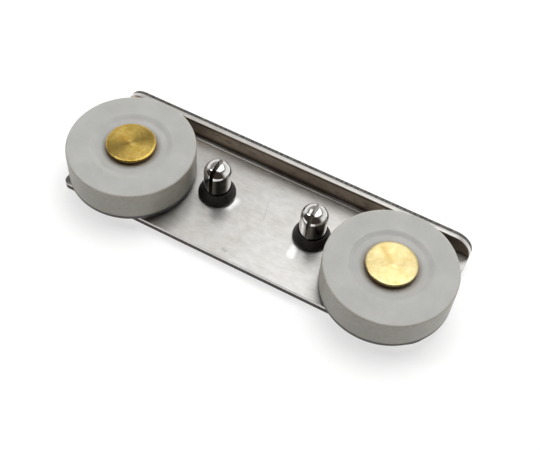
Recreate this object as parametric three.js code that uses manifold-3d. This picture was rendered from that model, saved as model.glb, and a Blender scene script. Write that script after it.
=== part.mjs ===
// Sliding door roller: a bent steel bracket that carries two nylon wheels on brass
// shoulder rivets, and two split studs that snap into the door rail.
// Millimetres, +Z up. The origin is at the centre of the bounding box, on the surface
// that the riveted tails rest on. X runs along the bracket, and +Y points to the flange.

import * as THREE from 'three';
import { mergeVertices, toCreasedNormals } from 'three/addons/utils/BufferGeometryUtils.js';
import Module from 'manifold-3d';

const wasm = await Module();
wasm.setup();

// Driving dimensions
const SHEET = 1.6;               // thickness of the bracket's steel
const TAIL_HEIGHT = 0.8;         // how far the riveted tails stand below the plate
const BRACKET_LENGTH = 76.2;
const BRACKET_SHIFT = 0.4;       // the bracket's middle, towards the right wheel
const BRACKET_DEPTH = 24.9;      // front edge to the flange's outer face
const FLANGE_RISE = 4.4;         // the flange above the plate's top face
const FLANGE_OUTER_Y = 14.05;
const BEND_INNER_RADIUS = 0.8;
const FLANGE_CORNER_RADIUS = 3.8;
const LEFT_CORNER_RADIUS = 1.2;  // front corners of the plate
const RIGHT_CORNER_RADIUS = 7;

const WHEEL_RADIUS = 12.5;
const WHEEL_WIDTH = 7.1;
const WHEEL_SPACING = 54.8;
const WHEEL_Y = -1.55;
const WHEEL_GAP = 0.6;           // plate to the wheel's lower face
const WHEEL_EDGE_RADIUS = 0.5;
const RECESS_RADIUS = 7.3;       // shallow dish in both faces of a wheel
const RECESS_DEPTH = 0.35;
const RECESS_SLOPE = 0.4;
const BORE_RADIUS = 2.6;

const RIVET_HEAD_RADIUS = 4.78;
const RIVET_HEAD_TOP = 8.5;      // above the plate's top face
const RIVET_HEAD_THICKNESS = 1.05;
const RIVET_HEAD_EDGE_RADIUS = 0.25;
const RIVET_SHANK_RADIUS = 2.5;
const RIVET_TENON_RADIUS = 2;
const RIVET_TAIL_RADIUS = 3.2;
const TAIL_EDGE_RADIUS = 0.3;

const WASHER_RADIUS = 4.6;
const WASHER_THICKNESS = 0.8;

const STUD_SPACING = 20.7;
const STUD_Y = 2;
const STUD_HEIGHT = 8.5;         // above the plate's top face
const STUD_RADIUS = 2.65;
const STUD_TIP_RADIUS = 1.6;
const STUD_TIP_HEIGHT = 1.3;
const STUD_TIP_EDGE_RADIUS = 0.4;
const STUD_CONE_ANGLE = 30;      // where the tip's cone meets its rounded edge
const STUD_TENON_RADIUS = 1.9;
const STUD_TAIL_RADIUS = 2.7;
const SLOT_WIDTH = 0.75;
const SLOT_DEPTH = 6;

const COLLAR_BASE_RADIUS = 3.7;
const COLLAR_TOP_RADIUS = 2.95;
const COLLAR_HEIGHT = 2.4;
const COLLAR_SKIRT = 0.6;        // straight part at the collar's foot

const FIT_GAP = 0.05;            // between pieces that are riveted or pressed together
const HOLE_CLEARANCE = 0.1;      // radial, round a tenon or shank

const WHEEL_SEGMENTS = 64;
const RIVET_SEGMENTS = 40;
const STUD_SEGMENTS = 32;
const ARC_STEPS = 3;             // straight steps in each small rounded edge
const BEND_STEPS = 6;
const CREASE_ANGLE = 0.6;
const MERGE_DISTANCE = 1e-4;

const steel = { color: 0xc9c6c0, roughness: 0.35, metalness: 1 };
const chrome = { color: 0xdcdcdc, roughness: 0.12, metalness: 1 };
const blackened = { color: 0x2a2524, roughness: 0.4, metalness: 0.6 };
const brass = { color: 0xd9b04a, roughness: 0.25, metalness: 1 };
const nylon = { color: 0xc4c4be, roughness: 0.55, metalness: 0 };

// Boolean solids and meshes

function toSolid(geometry) {
  const bare = geometry.clone();
  bare.deleteAttribute('normal');
  bare.deleteAttribute('uv');
  const merged = mergeVertices(bare, MERGE_DISTANCE);
  const corners = merged.index.array;
  const kept = [];
  for (let i = 0; i < corners.length; i += 3) {
    const [a, b, c] = corners.slice(i, i + 3);
    if (a !== b && b !== c && c !== a) {
      kept.push(a, b, c);
    }
  }
  const mesh = new wasm.Mesh({
    numProp: 3,
    vertProperties: Float32Array.from(merged.attributes.position.array),
    triVerts: Uint32Array.from(kept),
  });
  return new wasm.Manifold(mesh);
}

function toMesh(name, solid, finish) {
  const { vertProperties, triVerts } = solid.getMesh();
  const geometry = new THREE.BufferGeometry();
  geometry.setAttribute('position', new THREE.BufferAttribute(vertProperties, 3));
  geometry.setIndex(new THREE.BufferAttribute(triVerts, 1));
  const mesh = new THREE.Mesh(
    toCreasedNormals(geometry, CREASE_ANGLE),
    new THREE.MeshStandardMaterial(finish),
  );
  mesh.name = name;
  return mesh;
}

// A solid of revolution about Z. The profile is a list of [radius, height] points,
// counter-clockwise, from axis to axis for a solid piece or closed on itself for a ring.
function turned(profile, segments) {
  const points = profile.map(([radius, height]) => new THREE.Vector2(radius, height));
  return toSolid(new THREE.LatheGeometry(points, segments).rotateX(Math.PI / 2));
}

function ring(profile, segments) {
  return turned([...profile, profile[0]], segments);
}

// Points of an arc about (x, y), from one angle to the next in degrees.
function arc(x, y, radius, from, to, steps = ARC_STEPS) {
  return Array.from({ length: steps + 1 }, (_, i) => {
    const angle = THREE.MathUtils.degToRad(from + ((to - from) * i) / steps);
    return [x + radius * Math.cos(angle), y + radius * Math.sin(angle)];
  });
}

// A prism of an outline drawn in the plane of two axes, from low to high on the third.
function prism(outline, acrossAxis, upAxis, low, high) {
  const shape = new THREE.Shape(outline.map(([x, y]) => new THREE.Vector2(x, y)));
  const geometry = new THREE.ExtrudeGeometry(shape, { depth: high - low, bevelEnabled: false });
  const alongAxis = new THREE.Vector3().crossVectors(acrossAxis, upAxis);
  geometry.translate(0, 0, low);
  geometry.applyMatrix4(new THREE.Matrix4().makeBasis(acrossAxis, upAxis, alongAxis));
  return toSolid(geometry);
}

const X = new THREE.Vector3(1, 0, 0);
const Y = new THREE.Vector3(0, 1, 0);
const Z = new THREE.Vector3(0, 0, 1);

// Bracket: an L of sheet with its flange bent up along the back. Its own z = 0 is the
// plate's underside.

const leftX = BRACKET_SHIFT - BRACKET_LENGTH / 2;
const rightX = BRACKET_SHIFT + BRACKET_LENGTH / 2;
const frontY = FLANGE_OUTER_Y - BRACKET_DEPTH;
const flangeTop = SHEET + FLANGE_RISE;

function bracketSection() {
  const bendOuterRadius = BEND_INNER_RADIUS + SHEET;
  const bendY = FLANGE_OUTER_Y - bendOuterRadius;
  return [
    [frontY, 0],
    ...arc(bendY, bendOuterRadius, bendOuterRadius, -90, 0, BEND_STEPS),
    [FLANGE_OUTER_Y, flangeTop],
    [FLANGE_OUTER_Y - SHEET, flangeTop],
    ...arc(bendY, bendOuterRadius, BEND_INNER_RADIUS, 0, -90, BEND_STEPS),
    [frontY, SHEET],
  ];
}

// The plate seen from above, with its back edge past the flange.
function bracketPlan(backY) {
  const left = LEFT_CORNER_RADIUS;
  const right = RIGHT_CORNER_RADIUS;
  return [
    ...arc(leftX + left, frontY + left, left, 180, 270, BEND_STEPS),
    ...arc(rightX - right, frontY + right, right, 270, 360, BEND_STEPS),
    [rightX, backY],
    [leftX, backY],
  ];
}

// The flange seen from the front, with its foot below the plate.
function flangeOutline(footZ) {
  const radius = FLANGE_CORNER_RADIUS;
  return [
    [leftX, footZ],
    [rightX, footZ],
    ...arc(rightX - radius, flangeTop - radius, radius, 0, 90, BEND_STEPS),
    ...arc(leftX + radius, flangeTop - radius, radius, 90, 180, BEND_STEPS),
  ];
}

function hole(x, y, radius) {
  const cylinder = new THREE.CylinderGeometry(radius, radius, 4 * SHEET, STUD_SEGMENTS);
  return toSolid(cylinder.rotateX(Math.PI / 2).translate(x, y, 0));
}

function bracket() {
  const past = FLANGE_OUTER_Y + SHEET;
  let solid = prism(bracketSection(), Y, Z, leftX - SHEET, rightX + SHEET)
    .intersect(prism(bracketPlan(past), X, Y, -SHEET, flangeTop + SHEET))
    .intersect(prism(flangeOutline(-SHEET), X, Z, -past, past));
  for (const side of [-1, 1]) {
    const axleHole = hole((side * WHEEL_SPACING) / 2, WHEEL_Y, RIVET_TENON_RADIUS + HOLE_CLEARANCE);
    const studHole = hole((side * STUD_SPACING) / 2, STUD_Y, STUD_TENON_RADIUS + HOLE_CLEARANCE);
    solid = solid.subtract(axleHole).subtract(studHole);
  }
  return solid;
}

// Pieces on the plate. Their own z = 0 is the plate's top face.

// The end of a rivet that is peened over below the plate, from the axis outwards.
function peenedTail(tailRadius, tenonRadius) {
  const low = -SHEET - TAIL_HEIGHT;
  const high = -SHEET - FIT_GAP;
  const edge = TAIL_EDGE_RADIUS;
  return [
    [0, low],
    ...arc(tailRadius - edge, low + edge, edge, -90, 0),
    [tailRadius, high],
    [tenonRadius, high],
    [tenonRadius, FIT_GAP],
  ];
}

function wheel() {
  const low = WHEEL_GAP;
  const high = low + WHEEL_WIDTH;
  const rim = WHEEL_RADIUS - WHEEL_EDGE_RADIUS;
  return ring([
    [BORE_RADIUS, low + RECESS_DEPTH],
    [RECESS_RADIUS - RECESS_SLOPE, low + RECESS_DEPTH],
    [RECESS_RADIUS, low],
    ...arc(rim, low + WHEEL_EDGE_RADIUS, WHEEL_EDGE_RADIUS, -90, 0),
    ...arc(rim, high - WHEEL_EDGE_RADIUS, WHEEL_EDGE_RADIUS, 0, 90),
    [RECESS_RADIUS, high],
    [RECESS_RADIUS - RECESS_SLOPE, high - RECESS_DEPTH],
    [BORE_RADIUS, high - RECESS_DEPTH],
  ], WHEEL_SEGMENTS);
}

function axleRivet() {
  const edge = RIVET_HEAD_EDGE_RADIUS;
  const headUnder = RIVET_HEAD_TOP - RIVET_HEAD_THICKNESS;
  return turned([
    ...peenedTail(RIVET_TAIL_RADIUS, RIVET_TENON_RADIUS),
    [RIVET_SHANK_RADIUS, FIT_GAP],
    [RIVET_SHANK_RADIUS, headUnder],
    [RIVET_HEAD_RADIUS, headUnder],
    ...arc(RIVET_HEAD_RADIUS - edge, RIVET_HEAD_TOP - edge, edge, 0, 90),
    [0, RIVET_HEAD_TOP],
  ], RIVET_SEGMENTS);
}

function wheelWasher() {
  const inner = RIVET_SHANK_RADIUS + HOLE_CLEARANCE;
  const high = FIT_GAP + WASHER_THICKNESS;
  return ring([
    [inner, FIT_GAP],
    [WASHER_RADIUS, FIT_GAP],
    [WASHER_RADIUS, high],
    [inner, high],
  ], RIVET_SEGMENTS);
}

function splitStud() {
  const edge = STUD_TIP_EDGE_RADIUS;
  const body = turned([
    ...peenedTail(STUD_TAIL_RADIUS, STUD_TENON_RADIUS),
    [STUD_RADIUS, FIT_GAP],
    [STUD_RADIUS, STUD_HEIGHT - STUD_TIP_HEIGHT],
    ...arc(STUD_TIP_RADIUS - edge, STUD_HEIGHT - edge, edge, STUD_CONE_ANGLE, 90),
    [0, STUD_HEIGHT],
  ], STUD_SEGMENTS);
  const slot = new THREE.BoxGeometry(SLOT_WIDTH, 3 * STUD_RADIUS, 2 * SLOT_DEPTH);
  return body.subtract(toSolid(slot.translate(0, 0, STUD_HEIGHT)));
}

function studCollar() {
  const inner = STUD_RADIUS + HOLE_CLEARANCE;
  return ring([
    [inner, FIT_GAP],
    [COLLAR_BASE_RADIUS, FIT_GAP],
    [COLLAR_BASE_RADIUS, COLLAR_SKIRT],
    [COLLAR_TOP_RADIUS, COLLAR_HEIGHT],
    [inner, COLLAR_HEIGHT],
  ], STUD_SEGMENTS);
}

// Assembly

const roller = new THREE.Group();
const plate = toMesh('bracket_plate', bracket(), steel);
plate.position.z = TAIL_HEIGHT;
roller.add(plate);

for (const [side, direction] of [['left', -1], ['right', 1]]) {
  const axle = new THREE.Group();
  axle.position.set((direction * WHEEL_SPACING) / 2, WHEEL_Y, TAIL_HEIGHT + SHEET);
  axle.add(toMesh(`${side}_wheel`, wheel(), nylon));
  axle.add(toMesh(`${side}_axle_rivet`, axleRivet(), brass));
  axle.add(toMesh(`${side}_wheel_washer`, wheelWasher(), steel));

  const stud = new THREE.Group();
  stud.position.set((direction * STUD_SPACING) / 2, STUD_Y, TAIL_HEIGHT + SHEET);
  stud.add(toMesh(`${side}_split_stud`, splitStud(), chrome));
  stud.add(toMesh(`${side}_stud_collar`, studCollar(), blackened));

  roller.add(axle, stud);
}

export default roller;
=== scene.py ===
import math

import bmesh
import bpy
from mathutils import Matrix, Vector


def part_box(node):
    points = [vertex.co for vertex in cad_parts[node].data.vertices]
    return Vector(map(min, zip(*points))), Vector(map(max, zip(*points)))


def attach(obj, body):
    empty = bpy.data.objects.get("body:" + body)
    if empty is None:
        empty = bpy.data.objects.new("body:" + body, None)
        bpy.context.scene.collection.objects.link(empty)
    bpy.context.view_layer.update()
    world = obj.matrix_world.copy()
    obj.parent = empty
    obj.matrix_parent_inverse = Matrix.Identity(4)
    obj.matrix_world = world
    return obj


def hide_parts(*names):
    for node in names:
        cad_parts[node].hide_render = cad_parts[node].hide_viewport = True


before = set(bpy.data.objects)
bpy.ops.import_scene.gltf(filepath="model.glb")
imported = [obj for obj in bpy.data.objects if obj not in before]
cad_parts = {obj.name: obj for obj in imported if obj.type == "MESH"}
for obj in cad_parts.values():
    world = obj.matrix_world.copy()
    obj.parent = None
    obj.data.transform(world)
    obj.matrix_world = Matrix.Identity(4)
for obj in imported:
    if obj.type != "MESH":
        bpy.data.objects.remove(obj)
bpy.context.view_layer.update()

# Sizes are in millimetres, and MM turns them into the scene's metres.
MM = 0.001
SIDES = ("left", "right")


def box(node):
    """The lowest and highest corners of a CAD node, in millimetres."""
    low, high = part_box(node)
    return low / MM, high / MM


# ---------------------------------------------------------------- driving sizes

PLATE_LOW, PLATE_HIGH = box("bracket_plate")
SHEET = 1.6
PLATE_TOP = PLATE_LOW.z + SHEET
FLANGE_INNER = PLATE_HIGH.y - SHEET
BEND_OUTER = 2.4
BEND_MIDDLE = 1.6
BEND_START = PLATE_HIGH.y - BEND_OUTER
LEFT_CORNER = 1.2
RIGHT_CORNER = 7.0
FLANGE_CORNER = 3.8
RIVET_HOLE = 2.1
STUD_HOLE = 2.0

WHEEL_LOW, WHEEL_HIGH = box("left_wheel")
WHEEL_RADIUS = (WHEEL_HIGH.x - WHEEL_LOW.x) / 2
WHEEL_HALF = (WHEEL_HIGH.z - WHEEL_LOW.z) / 2
DISH_DEPTH = 0.35
DISH_OUTER = 7.9
DISH_INNER = 6.85
BORE = 2.6

TAIL_TOP = 0.75
SEAT = PLATE_TOP + 0.05
RIVET_TOP = box("left_axle_rivet")[1].z
RIVET_HEAD = 4.78
RIVET_SHOULDER = 2.5
RIVET_TENON = 2.0
RIVET_TAIL = 3.2
WASHER_RADIUS = 4.6

STUD_TOP = box("left_split_stud")[1].z
STUD_RADIUS = 2.65
STUD_TENON = 1.9
STUD_TAIL = 2.7
SLOT_WIDTH = 0.75
SLOT_DEPTH = 6.0
SLOT_LENGTH = 8.0
COLLAR_BORE = 2.75
COLLAR_FOOT = 3.7
COLLAR_SKIRT = 0.55
COLLAR_TOP = 2.95

# ---------------------------------------------------------------- camera

AZIMUTH = math.radians(23.647)
ELEVATION = math.radians(54.392)
ROLL = math.radians(5.484)
DISTANCE = 187.83 * MM
OFFSET_RIGHT = 2.233 * MM
OFFSET_UP = -0.442 * MM
LENS = 65.12
SENSOR = 36.0
CLIP_START = 0.01
CLIP_END = 20.0
AIM = Vector((0.0, -0.05, 2.4)) * MM


def add_camera():
    back = Vector((
        math.sin(AZIMUTH) * math.cos(ELEVATION),
        -math.cos(AZIMUTH) * math.cos(ELEVATION),
        math.sin(ELEVATION),
    ))
    right = Vector((0, 0, 1)).cross(back).normalized()
    up = back.cross(right)
    place = AIM + back * DISTANCE + right * OFFSET_RIGHT + up * OFFSET_UP
    across = right * math.cos(ROLL) + up * math.sin(ROLL)
    upward = up * math.cos(ROLL) - right * math.sin(ROLL)
    data = bpy.data.cameras.new("camera")
    data.lens = LENS
    data.sensor_width = SENSOR
    data.clip_start = CLIP_START
    data.clip_end = CLIP_END
    camera = bpy.data.objects.new("camera", data)
    turn = Matrix((across, upward, back)).transposed()
    camera.matrix_world = Matrix.Translation(place) @ turn.to_4x4()
    bpy.context.scene.collection.objects.link(camera)
    bpy.context.scene.camera = camera


# ---------------------------------------------------------------- mesh tools

SHARP_ANGLE = math.radians(35)
ON_AXIS = 1e-6


def smooth(mesh):
    """Smooth shading, but for the edges that turn by more than SHARP_ANGLE."""
    mesh.shade_smooth()
    mesh.set_sharp_from_angle(angle=SHARP_ANGLE)


def link(name, bm, place=(0, 0, 0)):
    """A new object from a bmesh, its faces pointing out."""
    bmesh.ops.recalc_face_normals(bm, faces=bm.faces)
    mesh = bpy.data.meshes.new(name)
    bm.to_mesh(mesh)
    bm.free()
    smooth(mesh)
    made = bpy.data.objects.new(name, mesh)
    made.location = place
    bpy.context.scene.collection.objects.link(made)
    return made


def cut(body, cutters):
    """Takes the cutters out of the body, then deletes them."""
    for cutter in cutters:
        step = body.modifiers.new("cut", "BOOLEAN")
        step.operation = "DIFFERENCE"
        step.solver = "EXACT"
        step.object = cutter
    graph = bpy.context.evaluated_depsgraph_get()
    mesh = bpy.data.meshes.new_from_object(body.evaluated_get(graph))
    body.modifiers.clear()
    body.data = mesh
    smooth(mesh)
    for cutter in cutters:
        bpy.data.objects.remove(cutter)


def held(points, closed, reach=0.08, longest=0.35):
    """Adds points close to both ends of each long straight, which keep its shading flat."""
    out = []
    count = len(points)
    for index, here in enumerate(points):
        out.append(here)
        if index == count - 1 and not closed:
            break
        way = points[(index + 1) % count] - here
        if way.length > longest:
            out.append(here + way.normalized() * reach)
            out.append(here + way - way.normalized() * reach)
    return out


def rounded(corners, closed=False, steps=5):
    """Points of a profile, from its corners (radius, height, rounding)."""
    points = []
    count = len(corners)
    for index, (radius, height, rounding) in enumerate(corners):
        here = Vector((radius, height))
        if rounding == 0:
            points.append(here)
            continue
        before = (Vector(corners[index - 1][:2]) - here).normalized()
        after = (Vector(corners[(index + 1) % count][:2]) - here).normalized()
        half = before.angle(after) / 2
        centre = here + (before + after).normalized() * (rounding / math.sin(half))
        arm = here + before * (rounding / math.tan(half)) - centre
        end = here + after * (rounding / math.tan(half)) - centre
        turn = math.atan2(arm.x * end.y - arm.y * end.x, arm.dot(end))
        for step in range(steps + 1):
            angle = turn * step / steps
            points.append(centre + Vector((
                arm.x * math.cos(angle) - arm.y * math.sin(angle),
                arm.x * math.sin(angle) + arm.y * math.cos(angle),
            )))
    return held(points, closed)


def lathe(name, points, segments, place, closed=False):
    """A solid of revolution about its own Z, from profile points (radius, height)."""
    bm = bmesh.new()
    rings = []
    for point in points:
        if point.x < ON_AXIS:
            rings.append([bm.verts.new((0, 0, point.y * MM))])
            continue
        ring = []
        for step in range(segments):
            angle = 2 * math.pi * step / segments
            ring.append(bm.verts.new((
                point.x * MM * math.cos(angle),
                point.x * MM * math.sin(angle),
                point.y * MM,
            )))
        rings.append(ring)
    pairs = list(zip(rings, rings[1:]))
    if closed:
        pairs.append((rings[-1], rings[0]))
    for low, high in pairs:
        for step in range(segments):
            after = (step + 1) % segments
            corners = (
                low[step % len(low)], low[after % len(low)],
                high[after % len(high)], high[step % len(high)],
            )
            bm.faces.new(list(dict.fromkeys(corners)))
    return link(name, bm, place)


def middle(node):
    low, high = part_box(node)
    return (low + high) / 2


def axis_of(node):
    """The point of a turned node's axis in the plane z = 0."""
    centre = middle(node)
    return Vector((centre.x, centre.y, 0))


# ---------------------------------------------------------------- material tools

def add_node(tree, kind, inputs, output=0, **settings):
    """Adds a shader node, sets or links its inputs, and returns one of its outputs."""
    node = tree.nodes.new("ShaderNode" + kind)
    for key, value in settings.items():
        setattr(node, key, value)
    for key, value in inputs.items():
        fill(tree, node.inputs[key], value)
    return node.outputs[output]


def fill(tree, socket, value):
    if isinstance(value, bpy.types.NodeSocket):
        tree.links.new(value, socket)
    else:
        socket.default_value = value


class Finish:
    """A procedural material, with its coordinates in millimetres in the piece's own frame."""

    def __init__(self, name):
        self.material = bpy.data.materials.new(name)
        self.material.use_nodes = True
        self.tree = self.material.node_tree
        self.shader = self.tree.nodes["Principled BSDF"]
        coordinates = self.tree.nodes.new("ShaderNodeTexCoord").outputs["Object"]
        self.mm = self.add("VectorMath", {0: coordinates, 3: 1 / MM}, operation="SCALE")

    def add(self, kind, inputs, output=0, **settings):
        return add_node(self.tree, kind, inputs, output, **settings)

    def math(self, operation, first, second=0.0):
        return self.add("Math", {0: first, 1: second}, operation=operation)

    def total(self, first, *others):
        for other in others:
            first = self.math("ADD", first, other)
        return first

    def product(self, first, *others):
        for other in others:
            first = self.math("MULTIPLY", first, other)
        return first

    def largest(self, first, *others):
        for other in others:
            first = self.math("MAXIMUM", first, other)
        return first

    def stretch(self, scale):
        return self.add("Mapping", {0: self.mm, 3: scale}, vector_type="POINT")

    def noise(self, vector, scale, detail=3.0, roughness=0.55):
        inputs = {0: vector, "Scale": scale, "Detail": detail, "Roughness": roughness}
        return self.add("TexNoise", inputs)

    def remap(self, value, low, high, to_low=0.0, to_high=1.0):
        return self.add("MapRange", {0: value, 1: low, 2: high, 3: to_low, 4: to_high})

    def blend(self, factor, first, second):
        """The first colour where the factor is 0, the second where it is 1."""
        inputs = {0: factor}
        for key, colour in ((6, first), (7, second)):
            inputs[key] = (*colour, 1) if isinstance(colour, tuple) else colour
        return self.add("Mix", inputs, output=2, data_type="RGBA")

    def bump(self, height, distance, strength):
        return self.add("Bump", {"Strength": strength, "Distance": distance * MM, "Height": height})

    def axis(self, which):
        return self.add("SeparateXYZ", {0: self.mm}, output=which)

    def flat(self):
        """The vector from the piece's own Z axis."""
        return self.add("VectorMath", {0: self.mm, 1: (1, 1, 0)}, operation="MULTIPLY")

    def radius(self):
        """Distance from the piece's own Z axis."""
        return self.add("VectorMath", {0: self.flat()}, output=1, operation="LENGTH")

    def rings(self, pitch):
        """Turning marks round the Z axis: 0 to 1, one groove per pitch, a little uneven."""
        wander = self.noise(self.mm, 0.4, 2.0)
        uneven = self.product(wander, 0.6)
        turned = self.total(self.math("DIVIDE", self.radius(), pitch), uneven)
        wave = self.math("SINE", self.product(turned, 2 * math.pi))
        return self.remap(wave, -1, 1)

    def near_line(self, start, end, width):
        """1 on the straight line between two points of the XY plane, 0 from that width on."""
        start = Vector((*start, 0))
        way = Vector((*end, 0)) - start
        arm = self.add("VectorMath", {0: self.flat(), 1: start}, operation="SUBTRACT")
        inputs = {0: arm, 1: way / way.length_squared}
        share = self.remap(self.add("VectorMath", inputs, output=1, operation="DOT_PRODUCT"), 0, 1)
        foot = self.add("VectorMath", {0: way, 3: share}, operation="SCALE")
        gap = self.add("VectorMath", {0: arm, 1: foot}, output=1, operation="DISTANCE")
        return self.remap(gap, 0, width, 1, 0)

    def look(self, **values):
        """Sets the shader's own sockets."""
        for key, value in values.items():
            fill(self.tree, self.shader.inputs[key.replace("_", " ")], value)
        return self.material


# ---------------------------------------------------------------- materials

# Marks on the plate's top: start and end in the plate's XY plane, and width. The first two are painted
# highlights, glints beside the collars; the scratch and the dark spot are real marks; the last is
# painted shade at the plate's left front corner.
PAINTED_GLINTS = (
    ((-6.3, 1.9), (-6.9, 0.1), 1.25),
    ((8.8, -2.1), (8.9, -3.6), 1.2),
)
SCRATCH = ((-0.54, 5.18), (0.62, 0.67), 0.15)
DARK_SPOT = ((-2.8, -9.0), (-2.2, -9.2), 0.6)
SHADED_CORNER = ((-37.7, -10.8), (-37.7, -5.5), 2.2)


def bracket_steel():
    """Stainless sheet brushed along X, with painted highlights for glints beside the collars, a real
    scratch and dark spot, painted shade in the bend, at the flange's right end, at the plate's left
    front corner and browner over the flange's inner face, a darker band under the flange's top edge and
    random dark blotches.
    """
    dull = (0.595, 0.58, 0.555)
    bright = (0.74, 0.73, 0.71)
    glint_white = (1.0, 1.0, 0.99)
    scored = (0.22, 0.21, 0.20)
    brown_shade_tint = (0.66, 0.53, 0.41)
    shade_and_dirt_colour = (0.055, 0.043, 0.034)
    coat = Finish("bracket_steel")
    brush = coat.noise(coat.stretch((0.16, 9.0, 9.0)), 1.0, 4.0, 0.6)
    fine = coat.noise(coat.mm, 7.0, 3.0, 0.6)
    patches = coat.noise(coat.mm, 0.16, 4.0, 0.6)
    clouds = coat.noise(coat.stretch((0.5, 0.9, 0.9)), 1.0, 4.0, 0.65)
    along = coat.axis(0)
    across = coat.axis(1)
    upwards = coat.axis(2)
    on_top = coat.remap(upwards, PLATE_TOP - 0.3, PLATE_TOP - 0.1)
    inside = coat.product(coat.remap(across, FLANGE_INNER + 0.05, FLANGE_INNER + 0.15, 1, 0), on_top)

    tone = coat.total(coat.product(brush, 0.2), coat.product(patches, 0.4), coat.product(clouds, 0.4))
    colour = coat.blend(coat.remap(tone, 0.40, 0.60), dull, bright)

    # Painted highlight: near-white glints on the plate beside the two collars, a little smoother there
    # too.
    glints = coat.largest(*(coat.near_line(*mark) for mark in PAINTED_GLINTS))
    glints = coat.product(glints, coat.remap(clouds, 0.3, 0.7, 0.9, 1.7), on_top)
    colour = coat.blend(glints, colour, glint_white)

    scratch = coat.product(coat.near_line(*SCRATCH), 0.45)
    spot = coat.product(coat.near_line(*DARK_SPOT), 0.7)
    marks = coat.product(coat.largest(scratch, spot), on_top, coat.remap(fine, 0.35, 0.65, 0.3, 0.9))
    colour = coat.blend(marks, colour, scored)

    # Painted shade: a darker, browner tint over the flange's inner face.
    on_flange = coat.product(coat.remap(across, FLANGE_INNER - 0.15, FLANGE_INNER - 0.05), inside)
    colour = coat.blend(coat.product(on_flange, 0.8), colour, brown_shade_tint)

    # Painted shade: darker in the hollow of the bend, at the flange's right end beside the wheel and at
    # the plate's left front corner.
    foot_of_bend = coat.remap(across, BEND_START - 0.15, BEND_START + 0.1, 0, 0.62)
    hollow_of_bend = coat.remap(upwards, PLATE_TOP + 0.2, PLATE_TOP + 0.45)
    in_bend = coat.product(
        coat.largest(foot_of_bend, hollow_of_bend),
        coat.remap(upwards, PLATE_TOP + 1.7, PLATE_TOP + 0.7),
    )
    at_end = coat.product(
        coat.remap(along, 27.0, 32.0, 0, 0.8),
        coat.remap(across, FLANGE_INNER - 0.45, FLANGE_INNER - 0.05),
    )
    at_corner = coat.math("MINIMUM", coat.product(coat.near_line(*SHADED_CORNER), 1.6), 0.85)
    # Darker in a band just under the flange's top edge, and in random blotches on the flange's inner
    # face.
    under_rim = coat.product(
        coat.remap(upwards, PLATE_HIGH.z - 0.8, PLATE_HIGH.z - 0.5, 0, 0.7),
        coat.remap(upwards, PLATE_HIGH.z - 0.14, PLATE_HIGH.z - 0.08, 1, 0),
    )
    blotches = coat.product(
        coat.remap(clouds, 0.48, 0.66, 0, 0.45),
        coat.remap(upwards, PLATE_HIGH.z - 0.2, PLATE_HIGH.z - 0.1, 1, 0),
    )
    on_wall = coat.product(coat.largest(under_rim, blotches), on_flange)
    shade_and_dirt = coat.product(coat.largest(in_bend, at_end, at_corner, on_wall), inside)
    shade_and_dirt = coat.product(shade_and_dirt, coat.remap(fine, 0.3, 0.7, 0.75, 0.98))
    colour = coat.blend(shade_and_dirt, colour, shade_and_dirt_colour)

    rough = coat.total(coat.remap(brush, 0.3, 0.7, 0.33, 0.37), coat.remap(patches, 0.3, 0.7, 0.0, 0.05))
    rough = coat.math("SUBTRACT", rough, coat.product(glints, 0.1))
    height = coat.total(coat.product(brush, 0.5), coat.product(fine, 0.5))
    normal = coat.bump(coat.math("SUBTRACT", height, marks), 0.0012, 0.6)
    return coat.look(Base_Color=colour, Metallic=1.0, Roughness=rough, Normal=normal)


def sheared_steel():
    """The torn part of the sheet's cut edge, darker towards the front with painted shade."""
    dark = (0.055, 0.052, 0.048)
    light = (0.27, 0.26, 0.25)
    shade_and_dirt_colour = (0.035, 0.032, 0.028)
    coat = Finish("sheared_steel")
    grain = coat.noise(coat.stretch((3.0, 3.0, 3.0)), 1.0, 4.0, 0.65)
    streak = coat.noise(coat.stretch((2.2, 0.6, 0.6)), 1.0, 3.0, 0.6)
    colour = coat.blend(coat.remap(coat.product(grain, streak), 0.15, 0.40), dark, light)
    # Painted shade: darker towards the front edge.
    colour = coat.blend(coat.remap(coat.axis(1), -9.0, 4.0, 0.8, 0), colour, shade_and_dirt_colour)
    rough = coat.remap(grain, 0.3, 0.7, 0.38, 0.6)
    normal = coat.bump(grain, 0.05, 0.8)
    return coat.look(Base_Color=colour, Metallic=1.0, Roughness=rough, Normal=normal)


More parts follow.
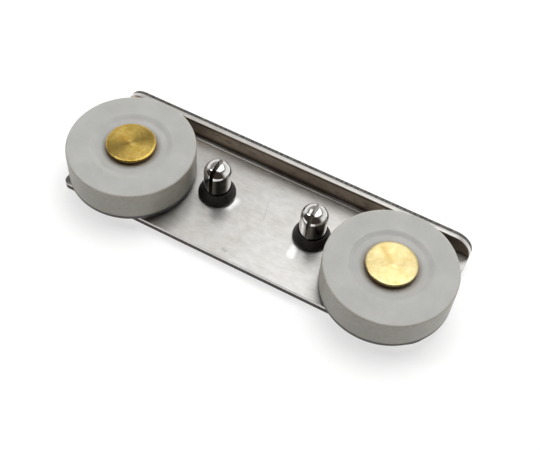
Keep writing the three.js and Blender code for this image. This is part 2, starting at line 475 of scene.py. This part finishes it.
def nylon():
    """Natural nylon with a worn, darker tread that is partly painted shade on the wheel's side, a
    painted contact shadow along its low edge and painted shade round the rivet.
    """
    dull = (0.385, 0.385, 0.367)
    bright = (0.46, 0.46, 0.443)
    worn_shaded_tread = (0.315, 0.297, 0.245)
    contact_shadow_black = (0.035, 0.031, 0.027)
    brown_contact_shade = (0.15, 0.105, 0.055)
    coat = Finish("nylon")
    clouds = coat.noise(coat.mm, 0.22, 4.0, 0.6)
    specks = coat.noise(coat.mm, 3.5, 4.0, 0.6)
    smears = coat.noise(coat.mm, 0.9, 4.0, 0.7)
    tone = coat.total(clouds, coat.product(specks, 0.25))
    colour = coat.blend(coat.remap(tone, 0.35, 0.90), dull, bright)

    # Partly wear, partly painted shade: the tread on the wheel's side is darker and yellower.
    tread_wear_and_shade = coat.remap(coat.radius(), WHEEL_RADIUS - 0.45, WHEEL_RADIUS - 0.05)
    tread_wear_and_shade = coat.product(tread_wear_and_shade, coat.remap(smears, 0.3, 0.7, 0.4, 1.0))
    colour = coat.blend(tread_wear_and_shade, colour, worn_shaded_tread)

    # Painted shadow: a near-black line round the wheel's low edge.
    painted_contact_shadow = coat.product(
        coat.remap(coat.axis(2), 1.1 - WHEEL_HALF, 0.8 - WHEEL_HALF, 0, 0.97),
        coat.remap(coat.radius(), WHEEL_RADIUS - 0.9, WHEEL_RADIUS - 0.5),
    )
    colour = coat.blend(painted_contact_shadow, colour, contact_shadow_black)

    # Painted shade: a brown halo on the nylon round the rivet's head.
    shade_by_rivet = coat.product(
        coat.remap(coat.radius(), RIVET_HEAD + 0.12, RIVET_HEAD + 1.12, 1, 0),
        coat.remap(specks, 0.3, 0.7, 0.5, 0.95),
    )
    colour = coat.blend(shade_by_rivet, colour, brown_contact_shade)

    rough = coat.remap(specks, 0.3, 0.7, 0.38, 0.52)
    height = coat.total(coat.product(coat.rings(0.23), 0.5), coat.product(specks, 0.8))
    normal = coat.bump(height, 0.012, 0.7)
    coat.look(Base_Color=colour, Roughness=rough, Normal=normal, IOR=1.53)
    return coat.look(
        Subsurface_Weight=0.5,
        Subsurface_Scale=1.6 * MM,
        Subsurface_Radius=(1.0, 0.97, 0.88),
    )


def brass(name, dull, bright, stain_and_reflection_colour, stain_and_reflection_line):
    """Turned brass, with painted shade round the edge of the head and one darker mark on its face: a
    real orange spot on the left rivet, a painted dark reflection line on the right.
    """
    rim_shade_brown = (0.10, 0.055, 0.018)
    coat = Finish(name)
    marks = coat.rings(0.16)
    patina = coat.noise(coat.mm, 0.8, 5.0, 0.65)
    colour = coat.blend(coat.remap(patina, 0.35, 0.7), dull, bright)

    # One darker mark on the face: a real orange spot on the left rivet, a painted dark reflection line
    # on the right.
    stain_and_reflection = coat.product(coat.near_line(*stain_and_reflection_line), coat.remap(patina, 0.3, 0.7, 0.35, 0.75))
    colour = coat.blend(stain_and_reflection, colour, stain_and_reflection_colour)

    # Painted shade: dark brown round the edge of the head.
    edge = coat.product(
        coat.remap(coat.radius(), RIVET_HEAD - 0.33, RIVET_HEAD - 0.08),
        coat.remap(coat.axis(2), RIVET_TOP - 0.3, RIVET_TOP - 0.08, 1, 0),
    )
    colour = coat.blend(coat.product(edge, 0.92), colour, rim_shade_brown)

    rough = coat.total(coat.remap(patina, 0.3, 0.7, 0.24, 0.19), coat.remap(marks, 0, 1, 0.0, 0.03))
    coat.look(Base_Color=colour, Metallic=1.0, Roughness=rough, Normal=coat.bump(marks, 0.002, 0.6))
    tangent = coat.add("Tangent", {}, direction_type="RADIAL", axis="Z")
    return coat.look(Anisotropic=0.88, Anisotropic_Rotation=0.25, Tangent=tangent)


def chrome():
    """Bright plating, with painted shade inside the slot and a painted dark reflection down one side of
    the stud.
    """
    dull = (0.70, 0.69, 0.67)
    bright = (0.86, 0.85, 0.83)
    slot_shade_colour = (0.20, 0.18, 0.16)
    dark_reflection_colour = (0.06, 0.058, 0.045)
    dark_reflection_side = (0.732, -0.681, 0)
    coat = Finish("chrome")
    smudge = coat.noise(coat.mm, 0.9, 3.0, 0.6)
    marks = coat.noise(coat.stretch((0.5, 0.5, 9.0)), 1.0, 3.0, 0.5)
    upwards = coat.axis(2)
    colour = coat.blend(coat.remap(smudge, 0.3, 0.7), dull, bright)

    # Painted shade: dark walls and floor inside the slot.
    from_middle = coat.math("ABSOLUTE", coat.axis(0))
    slot_floor = STUD_TOP - SLOT_DEPTH
    slot_shade = coat.product(
        coat.remap(from_middle, SLOT_WIDTH / 2 + 0.01, SLOT_WIDTH / 2 + 0.055, 1, 0),
        coat.remap(upwards, slot_floor - 0.2, slot_floor - 0.1),
    )
    colour = coat.blend(slot_shade, colour, slot_shade_colour)

    # Painted reflection: a dark streak down one side of the stud's body, below its dome.
    outward = coat.add("VectorMath", {0: coat.flat()}, operation="NORMALIZE")
    facing = coat.add("VectorMath", {0: outward, 1: dark_reflection_side}, output=1, operation="DOT_PRODUCT")
    dark_reflection = coat.product(
        coat.remap(facing, 0.84, 0.95),
        coat.remap(upwards, STUD_TOP - 1.3, STUD_TOP - 1.7),
        coat.remap(smudge, 0.3, 0.7, 0.85, 1.0),
    )
    colour = coat.blend(dark_reflection, colour, dark_reflection_colour)

    rough = coat.remap(smudge, 0.3, 0.7, 0.07, 0.14)
    normal = coat.bump(marks, 0.003, 0.6)
    return coat.look(Base_Color=colour, Metallic=1.0, Roughness=rough, Normal=normal)


def blackened():
    """Black-finished steel, a little worn."""
    black = (0.016, 0.013, 0.013)
    worn = (0.050, 0.043, 0.040)
    coat = Finish("blackened")
    wear = coat.noise(coat.mm, 1.6, 4.0, 0.65)
    fine = coat.noise(coat.mm, 9.0, 2.0, 0.6)
    colour = coat.blend(coat.remap(wear, 0.40, 0.75), black, worn)
    rough = coat.remap(wear, 0.3, 0.7, 0.32, 0.5)
    normal = coat.bump(fine, 0.01, 0.6)
    return coat.look(Base_Color=colour, Metallic=0.35, Roughness=rough, Normal=normal)


def washer_steel():
    """Plain stamped steel with faint turning marks."""
    dark = (0.42, 0.41, 0.40)
    light = (0.60, 0.59, 0.58)
    coat = Finish("washer_steel")
    patches = coat.noise(coat.mm, 0.8, 3.0, 0.6)
    colour = coat.blend(coat.remap(patches, 0.3, 0.7), dark, light)
    rough = coat.remap(patches, 0.3, 0.7, 0.30, 0.45)
    normal = coat.bump(coat.rings(0.3), 0.006, 0.6)
    return coat.look(Base_Color=colour, Metallic=1.0, Roughness=rough, Normal=normal)


def floor_paper():
    """White paper lit from below as on a light table, which keeps shadows on it pale."""
    dark = (0.41, 0.41, 0.41)
    light = (0.43, 0.43, 0.43)
    coat = Finish("floor_paper")
    colour = coat.blend(coat.noise(coat.mm, 1.5, 3.0, 0.6), dark, light)
    coat.look(Base_Color=colour, Roughness=0.9, Specular_IOR_Level=0.1)
    return coat.look(Emission_Color=(1.0, 1.0, 1.0, 1.0), Emission_Strength=0.62)


# ---------------------------------------------------------------- bracket

COLUMNS = 76
CORNER_ROWS = 10
PLATE_ROWS = 6
BEND_ROWS = 14
HOLE_SEGMENTS = 48
# The sheet's cut edge as (height through the sheet, inset): rolled over at the plate's top and
# the flange's inner side, then a burnished band, a torn band and a rounded lower edge.
EDGE = (
    (1.6, 0.15), (1.597, 0.10), (1.584, 0.058), (1.558, 0.026), (1.52, 0.006), (1.46, 0.0),
    (1.1, 0.0), (0.72, 0.0), (0.65, 0.014), (0.36, 0.035), (0.06, 0.02), (0.015, 0.035), (0.0, 0.06),
)
# The first step of EDGE that is torn and dark, which is higher up on the plate.
TORN_FROM_PLATE = 6
TORN_FROM_FLANGE = 7


def blank_rows(left, right, total, bend_start):
    """Rows of the flat blank from the front edge to the flange's top edge.

    A row is its left point and outward normal, then the right ones. A point is (x, run),
    where run is the distance from the front edge along the sheet."""
    rows = []
    ends = ((left, LEFT_CORNER, -1), (right, RIGHT_CORNER, 1))
    for step in range(CORNER_ROWS + 1):
        angle = math.pi / 2 * step / CORNER_ROWS
        pair = []
        for edge, corner, way in ends:
            normal = Vector((way * math.sin(angle), -math.cos(angle)))
            centre = Vector((edge - way * corner, corner))
            pair.append((centre + normal * corner, normal))
        rows.append(pair)
    corner_start = total - FLANGE_CORNER
    for step in range(1, PLATE_ROWS + 1):
        run = RIGHT_CORNER + (bend_start - RIGHT_CORNER) * step / PLATE_ROWS
        rows.append([(Vector((edge, run)), Vector((way, 0))) for edge, corner, way in ends])
    for step in range(1, BEND_ROWS):
        run = bend_start + (corner_start - bend_start) * step / BEND_ROWS
        rows.append([(Vector((edge, run)), Vector((way, 0))) for edge, corner, way in ends])
    for step in range(CORNER_ROWS + 1):
        angle = math.pi / 2 * step / CORNER_ROWS
        pair = []
        for edge, corner, way in ends:
            normal = Vector((way * math.cos(angle), math.sin(angle)))
            centre = Vector((edge - way * FLANGE_CORNER, corner_start))
            pair.append((centre + normal * FLANGE_CORNER, normal))
        rows.append(pair)
    return rows


def make_sheet(name):
    """The bent sheet without its holes: a fine grid on both faces, joined by the cut edge."""
    flat = BEND_START - PLATE_LOW.y
    bend = BEND_MIDDLE * math.pi / 2
    total = flat + bend + (PLATE_HIGH.z - PLATE_LOW.z - BEND_OUTER)
    rows = blank_rows(PLATE_LOW.x, PLATE_HIGH.x, total, flat)

    def folded(x, run, height):
        """Where a point of the flat blank goes when the flange is bent up."""
        if run <= flat:
            return Vector((x, PLATE_LOW.y + run, PLATE_LOW.z + height)) * MM
        if run <= flat + bend:
            angle = (run - flat) / BEND_MIDDLE
            arm = BEND_OUTER - height
            return Vector((
                x,
                BEND_START + arm * math.sin(angle),
                PLATE_LOW.z + BEND_OUTER - arm * math.cos(angle),
            )) * MM
        rise = run - flat - bend
        return Vector((x, PLATE_HIGH.y - height, PLATE_LOW.z + BEND_OUTER + rise)) * MM

    def spot(row, column, inset, height):
        (left, left_out), (right, right_out) = rows[row]
        start = left - left_out * inset
        end = right - right_out * inset
        x, run = start.lerp(end, column / COLUMNS)
        return folded(x, run, height)

    bm = bmesh.new()
    last = len(rows) - 1
    loop = [(0, column) for column in range(COLUMNS + 1)]
    loop += [(row, COLUMNS) for row in range(1, last + 1)]
    loop += [(last, column) for column in range(COLUMNS - 1, -1, -1)]
    loop += [(row, 0) for row in range(last - 1, 0, -1)]
    rings = []
    for height, inset in EDGE:
        rings.append({at: bm.verts.new(spot(*at, inset, height)) for at in loop})
    for grid, (height, inset) in ((rings[0], EDGE[0]), (rings[-1], EDGE[-1])):
        for row in range(1, last):
            for column in range(1, COLUMNS):
                grid[row, column] = bm.verts.new(spot(row, column, inset, height))
        for row in range(last):
            for column in range(COLUMNS):
                bm.faces.new((
                    grid[row, column], grid[row, column + 1],
                    grid[row + 1, column + 1], grid[row + 1, column],
                ))
    flange_row = CORNER_ROWS + PLATE_ROWS + 1
    for step, (upper, lower) in enumerate(zip(rings, rings[1:])):
        for here, after in zip(loop, loop[1:] + loop[:1]):
            face = bm.faces.new((upper[here], upper[after], lower[after], lower[here]))
            torn_from = TORN_FROM_PLATE if here[0] < flange_row else TORN_FROM_FLANGE
            face.material_index = int(step >= torn_from)
    return link(name, bm)


def make_hole(node, radius):
    """A cylinder along a node's axis, longer than the sheet is thick."""
    low = PLATE_LOW.z - 1.8
    high = PLATE_TOP + 1.6
    profile = [Vector((0, low)), Vector((radius, low)), Vector((radius, high)), Vector((0, high))]
    return lathe("hole", profile, HOLE_SEGMENTS, axis_of(node))


def make_bracket():
    made = make_sheet("bracket")
    made.data.materials.append(bracket_steel())
    made.data.materials.append(sheared_steel())
    holes = []
    for side in SIDES:
        holes.append(make_hole(f"{side}_axle_rivet", RIVET_HOLE))
        holes.append(make_hole(f"{side}_split_stud", STUD_HOLE))
    cut(made, holes)
    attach(made, "bracket")
    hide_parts("bracket_plate")


# ---------------------------------------------------------------- turned pieces

def dress(made, body, node, finish):
    made.data.materials.clear()
    made.data.materials.append(finish)
    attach(made, body)
    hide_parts(node)


def make_wheel(side, finish):
    node = f"{side}_wheel"
    dish = WHEEL_HALF - DISH_DEPTH
    upper = [
        (WHEEL_RADIUS, WHEEL_HALF, 0.3), (DISH_OUTER, WHEEL_HALF, 1.5),
        (DISH_INNER, dish, 1.5), (BORE, dish, 0.15),
    ]
    lower = [(radius, -height, rounding) for radius, height, rounding in reversed(upper)]
    profile = rounded(lower + upper, closed=True, steps=6)
    made = lathe(f"{side}_nylon_wheel", profile, 144, middle(node), closed=True)
    dress(made, f"{side}_roller", node, finish)


def make_rivet(side, finish):
    node = f"{side}_axle_rivet"
    under_head = RIVET_TOP - 1.05
    outline = [
        (0, 0, 0), (2.4, 0, 0.6), (RIVET_TAIL, 0.28, 0.25), (RIVET_TAIL, TAIL_TOP, 0.06),
        (RIVET_TENON, TAIL_TOP, 0.05), (RIVET_TENON, SEAT, 0.05),
        (RIVET_SHOULDER, SEAT, 0.1), (RIVET_SHOULDER, under_head, 0.08),
        (RIVET_HEAD - 0.33, under_head, 0.05), (RIVET_HEAD, RIVET_TOP - 0.75, 0.12),
        (RIVET_HEAD, RIVET_TOP - 0.02, 0.22), (4.3, RIVET_TOP, 0.1), (0, RIVET_TOP, 0),
    ]
    made = lathe(f"{side}_brass_rivet", rounded(outline), 112, axis_of(node))
    dress(made, "bracket", node, finish)


def make_washer(side, finish):
    node = f"{side}_wheel_washer"
    low, high = box(node)
    outline = [
        (BORE, low.z, 0.06), (WASHER_RADIUS, low.z, 0.06),
        (WASHER_RADIUS, high.z, 0.16), (BORE, high.z, 0.12),
    ]
    profile = rounded(outline, closed=True, steps=4)
    made = lathe(f"{side}_thrust_washer", profile, 80, axis_of(node), closed=True)
    dress(made, "bracket", node, finish)


def make_slot(node):
    """The block that splits a stud from its tip down, across the bracket."""
    bm = bmesh.new()
    bmesh.ops.create_cube(bm, size=1)
    size = Vector((SLOT_WIDTH, SLOT_LENGTH, 2 * SLOT_DEPTH)) * MM
    bmesh.ops.scale(bm, vec=size, verts=bm.verts)
    return link("slot", bm, axis_of(node) + Vector((0, 0, STUD_TOP * MM)))


def make_stud(side, finish):
    node = f"{side}_split_stud"
    outline = [
        (0, 0, 0), (2.0, 0, 0.5), (STUD_TAIL, 0.26, 0.2), (STUD_TAIL, TAIL_TOP, 0.06),
        (STUD_TENON, TAIL_TOP, 0.05), (STUD_TENON, SEAT, 0.05), (STUD_RADIUS, SEAT, 0.08),
        (STUD_RADIUS, STUD_TOP - 1.35, 1.8), (1.6, STUD_TOP - 0.13, 1.5), (0, STUD_TOP, 0),
    ]
    made = lathe(f"{side}_snap_stud", rounded(outline, steps=7), 72, axis_of(node))
    cut(made, [make_slot(node)])
    dress(made, "bracket", node, finish)


def make_collar(side, finish):
    node = f"{side}_stud_collar"
    low, high = box(node)
    outline = [
        (COLLAR_BORE, low.z, 0.05), (COLLAR_FOOT, low.z, 0.08),
        (COLLAR_FOOT, low.z + COLLAR_SKIRT, 0.2),
        (COLLAR_TOP, high.z, 0.12), (COLLAR_BORE, high.z, 0.04),
    ]
    profile = rounded(outline, closed=True, steps=4)
    made = lathe(f"{side}_collar", profile, 72, axis_of(node), closed=True)
    dress(made, "bracket", node, finish)


def make_turned_pieces():
    wheel_finish = nylon()
    washer_finish = washer_steel()
    stud_finish = chrome()
    collar_finish = blackened()
    # Two copies of one brass: the right one's paler colour is a painted highlight and the left one's
    # deeper, darker colour painted shade, for how light falls on each.
    rivet_finishes = {
        "left": brass(
            "shaded_brass", dull=(0.64, 0.43, 0.085), bright=(0.92, 0.67, 0.20),
            stain_and_reflection_colour=(0.60, 0.26, 0.035), stain_and_reflection_line=((-2.1, 0.1), (-1.4, -0.2), 0.9),
        ),
        "right": brass(
            "highlit_brass", dull=(0.655, 0.525, 0.225), bright=(0.80, 0.672, 0.37),
            stain_and_reflection_colour=(0.45, 0.28, 0.06), stain_and_reflection_line=((-2.9, 2.3), (-0.3, 0.3), 0.95),
        ),
    }
    for side in SIDES:
        make_wheel(side, wheel_finish)
        make_rivet(side, rivet_finishes[side])
        make_washer(side, washer_finish)
        make_stud(side, stud_finish)
        make_collar(side, collar_finish)


# ---------------------------------------------------------------- studio

FLOOR_HALF = 3.0
FLOOR_DROP = 0.02 * MM


def add_floor():
    """A pale floor just under the riveted tails."""
    bm = bmesh.new()
    bmesh.ops.create_grid(bm, x_segments=1, y_segments=1, size=FLOOR_HALF)
    floor = link("floor", bm, (0, 0, -FLOOR_DROP))
    floor.data.materials.append(floor_paper())


def add_panel(name, place, aim, size, radiance, mirrored=True, turn=0):
    """A softbox, in metres, with that radiance at its surface, turned about Z by degrees."""
    width, height = size
    data = bpy.data.lights.new(name, "AREA")
    data.shape = "RECTANGLE"
    data.size = width
    data.size_y = height
    data.energy = radiance * math.pi * width * height
    panel = bpy.data.objects.new(name, data)
    panel.location = place
    aimed = (Vector(aim) - Vector(place)).to_track_quat("-Z", "Y").to_matrix()
    panel.rotation_euler = (Matrix.Rotation(math.radians(turn), 3, "Z") @ aimed).to_euler()
    panel.visible_glossy = mirrored
    bpy.context.scene.collection.objects.link(panel)


def add_surroundings():
    """White behind the object and dimmer overhead, and a dark room in front."""
    dark = (0.045, 0.035, 0.028, 1)
    white = (0.95, 0.95, 0.94, 1)
    overhead_share = 0.22
    world = bpy.data.worlds.new("studio")
    world.use_nodes = True
    tree = world.node_tree
    way = tree.nodes.new("ShaderNodeTexCoord").outputs["Generated"]
    rearward = add_node(tree, "SeparateXYZ", {0: way}, output=1)
    upward = add_node(tree, "SeparateXYZ", {0: way}, output=2)
    ramp = {"interpolation_type": "SMOOTHSTEP"}
    rear = add_node(tree, "MapRange", {0: rearward, 1: -0.35, 2: 0.15, 3: 0.0, 4: 1.0}, **ramp)
    low = add_node(tree, "MapRange", {0: upward, 1: 0.45, 2: 0.75, 3: 1.0, 4: overhead_share}, **ramp)
    share = add_node(tree, "Math", {0: rear, 1: low}, operation="MULTIPLY")
    colour = add_node(tree, "Mix", {0: share, 6: dark, 7: white}, output=2, data_type="RGBA")
    tree.links.new(colour, tree.nodes["Background"].inputs["Color"])
    bpy.context.scene.world = world


def add_studio():
    add_floor()
    add_panel("key", (-0.01, 0.17, 0.55), (0, 0, 0), (0.42, 0.36), radiance=4.1, mirrored=False)
    add_panel("overhead", (0, 0.22, 0.50), (0, 0.22, 0), (0.45, 0.44), radiance=1.13, turn=-20)
    add_panel("front_right", (0.05, 0.20, 0.49), (0.05, 0.20, 0), (0.24, 0.22), radiance=1.0)
    add_panel("left", (-0.30, -0.10, 0.50), (0, 0, 0), (0.12, 0.30), radiance=4.0)
    add_surroundings()
    bpy.context.scene.view_settings.view_transform = "Standard"


add_camera()
make_bracket()
make_turned_pieces()
add_studio()
